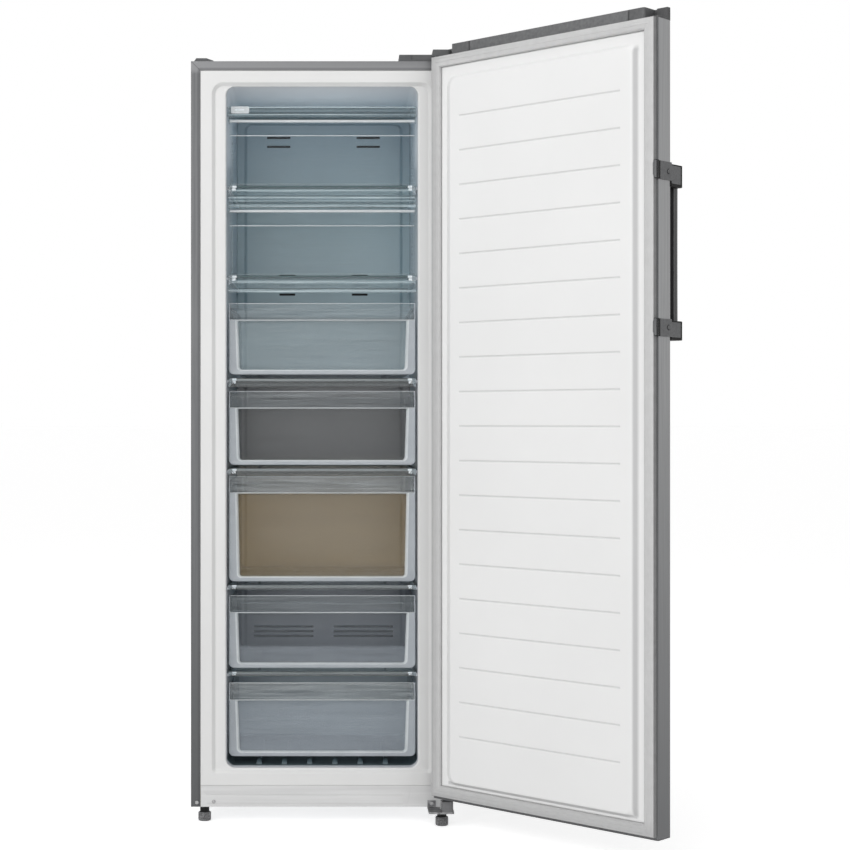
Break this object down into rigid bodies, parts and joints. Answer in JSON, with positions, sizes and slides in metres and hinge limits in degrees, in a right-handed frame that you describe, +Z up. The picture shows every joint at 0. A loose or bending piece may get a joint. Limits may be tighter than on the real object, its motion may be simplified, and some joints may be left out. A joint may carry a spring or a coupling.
{
  "type": "upright freezer",
  "caption": "Tall cabinet freezer with its door swung open, clear flip-up flaps over glass shelves, and clear sliding drawers below.",
  "frame": {"origin": "floor level under the middle of the case's front face, the plane that the door seals on", "axes": "+Z up, +Y from the front plane to the back of the cabinet, +X to the right seen from the front, the hinge side"},
  "size_m": [1.0356, 1.0585, 1.748],
  "materials": {
    "case_steel": "satin silver-grey paint",
    "door_steel": "satin silver-grey paint",
    "zinc_steel": "zinc-coated sheet",
    "bright_steel": "plated",
    "foam": "rigid foam",
    "liner_white": "satin white",
    "shelf_glass": "clear, greenish edge",
    "shelf_trim": "satin grey-white",
    "clear_plastic": "clear, faint blue",
    "seal_grey": "soft matte",
    "cap_grey": "fine grain",
    "handle_grey": "metallic grain",
    "handle_black": "satin black",
    "black_plastic": "moulded",
    "black_rubber": "matte",
    "compressor_black": "gloss black enamel",
    "coil_aluminium": "bare fins and tubes",
    "heater_steel": "sheathed rod",
    "copper": "drawn copper"
  },
  "bodies": {
    "cabinet": {"back_panel": "zinc_steel", "base_pan": "zinc_steel", "cabinet_screws": "bright_steel", "compressor": "compressor_black", "compressor_carrier": "zinc_steel", "compressor_grommets": "black_rubber", "condenser_coil": "copper", "corner_plug": "cap_grey", "defrost_heater": "heater_steel", "drain_tube": "black_plastic", "drip_tray": "black_plastic", "evaporator": "coil_aluminium", "evaporator_cover": "liner_white", "fan_motor": "black_plastic", "filter_drier": "copper", "flap_rail": "shelf_trim", "hinge_bracket_lower": "zinc_steel", "hinge_bracket_upper": "zinc_steel", "hinge_cam": "black_plastic", "hinge_cover": "cap_grey", "hinge_pins": "bright_steel", "inner_liner": "liner_white", "insulation_back": "foam", "insulation_floor": "foam", "insulation_left": "foam", "insulation_right": "foam", "insulation_top": "foam", "kick_plate": "liner_white", "machine_cover": "zinc_steel", "mains_inlet": "black_rubber", "outer_case": "case_steel", "rear_glides": "black_plastic", "shelf_glasses": "shelf_glass", "shelf_trim_1": "shelf_trim", "shelf_trim_2": "shelf_trim", "shelf_trim_3": "shelf_trim", "shelf_trim_4": "shelf_trim", "shelf_trim_5": "shelf_trim", "shelf_trim_6": "shelf_trim", "start_relay": "black_plastic"},
    "door": {"door_skin": "door_steel", "door_foam": "foam", "door_liner": "liner_white", "door_gasket": "seal_grey", "door_cap_top": "cap_grey", "door_cap_bottom": "cap_grey", "hinge_bushes": "black_plastic", "handle_bar": "handle_black", "handle_brackets": "handle_grey", "handle_screws": "bright_steel"},
    "flap_upper_body": {"flap_upper": "clear_plastic"},
    "flap_lower_body": {"flap_lower": "clear_plastic"},
    "drawer_1_body": {"drawer_1": "clear_plastic"},
    "drawer_2_body": {"drawer_2": "clear_plastic"},
    "drawer_3_body": {"drawer_3": "clear_plastic"},
    "drawer_4_body": {"drawer_4": "clear_plastic"},
    "drawer_5_body": {"drawer_5": "clear_plastic"},
    "fan": {"fan_rotor": "black_plastic"},
    "left_foot": {"foot_left": "black_plastic"},
    "right_foot": {"foot_right": "black_plastic"}
  },
  "joints": [
    {"name": "door_hinge", "type": "hinge", "parent": "cabinet", "child": "door", "pos_m": [0.281, -0.045, 0], "axis": [0, 0, 1], "range_deg": [-136.4, 0]},
    {"name": "flap_upper_hinge", "type": "hinge", "parent": "cabinet", "child": "flap_upper_body", "pos_m": [0, 0.044, 1.6001], "axis": [-1, 0, 0], "range_deg": [0, 85]},
    {"name": "flap_lower_hinge", "type": "hinge", "parent": "cabinet", "child": "flap_lower_body", "pos_m": [0, 0.044, 1.3936], "axis": [-1, 0, 0], "range_deg": [0, 85]},
    {"name": "drawer_1_slide", "type": "slide", "parent": "cabinet", "child": "drawer_1_body", "axis": [0, -1, 0], "range_m": [0, 0.33]},
    {"name": "drawer_2_slide", "type": "slide", "parent": "cabinet", "child": "drawer_2_body", "axis": [0, -1, 0], "range_m": [0, 0.33]},
    {"name": "drawer_3_slide", "type": "slide", "parent": "cabinet", "child": "drawer_3_body", "axis": [0, -1, 0], "range_m": [0, 0.33]},
    {"name": "drawer_4_slide", "type": "slide", "parent": "cabinet", "child": "drawer_4_body", "axis": [0, -1, 0], "range_m": [0, 0.33]},
    {"name": "drawer_5_slide", "type": "slide", "parent": "cabinet", "child": "drawer_5_body", "axis": [0, -1, 0], "range_m": [0, 0.22]},
    {"name": "fan_spin", "type": "hinge", "parent": "cabinet", "child": "fan", "pos_m": [0, 0.4538, 0.88], "axis": [0, 1, 0], "continuous": true},
    {"name": "left_foot_screw", "type": "slide", "parent": "cabinet", "child": "left_foot", "axis": [0, 0, -1], "range_m": [0, 0.012]},
    {"name": "right_foot_screw", "type": "slide", "parent": "cabinet", "child": "right_foot", "axis": [0, 0, -1], "range_m": [0, 0.012]}
  ]
}
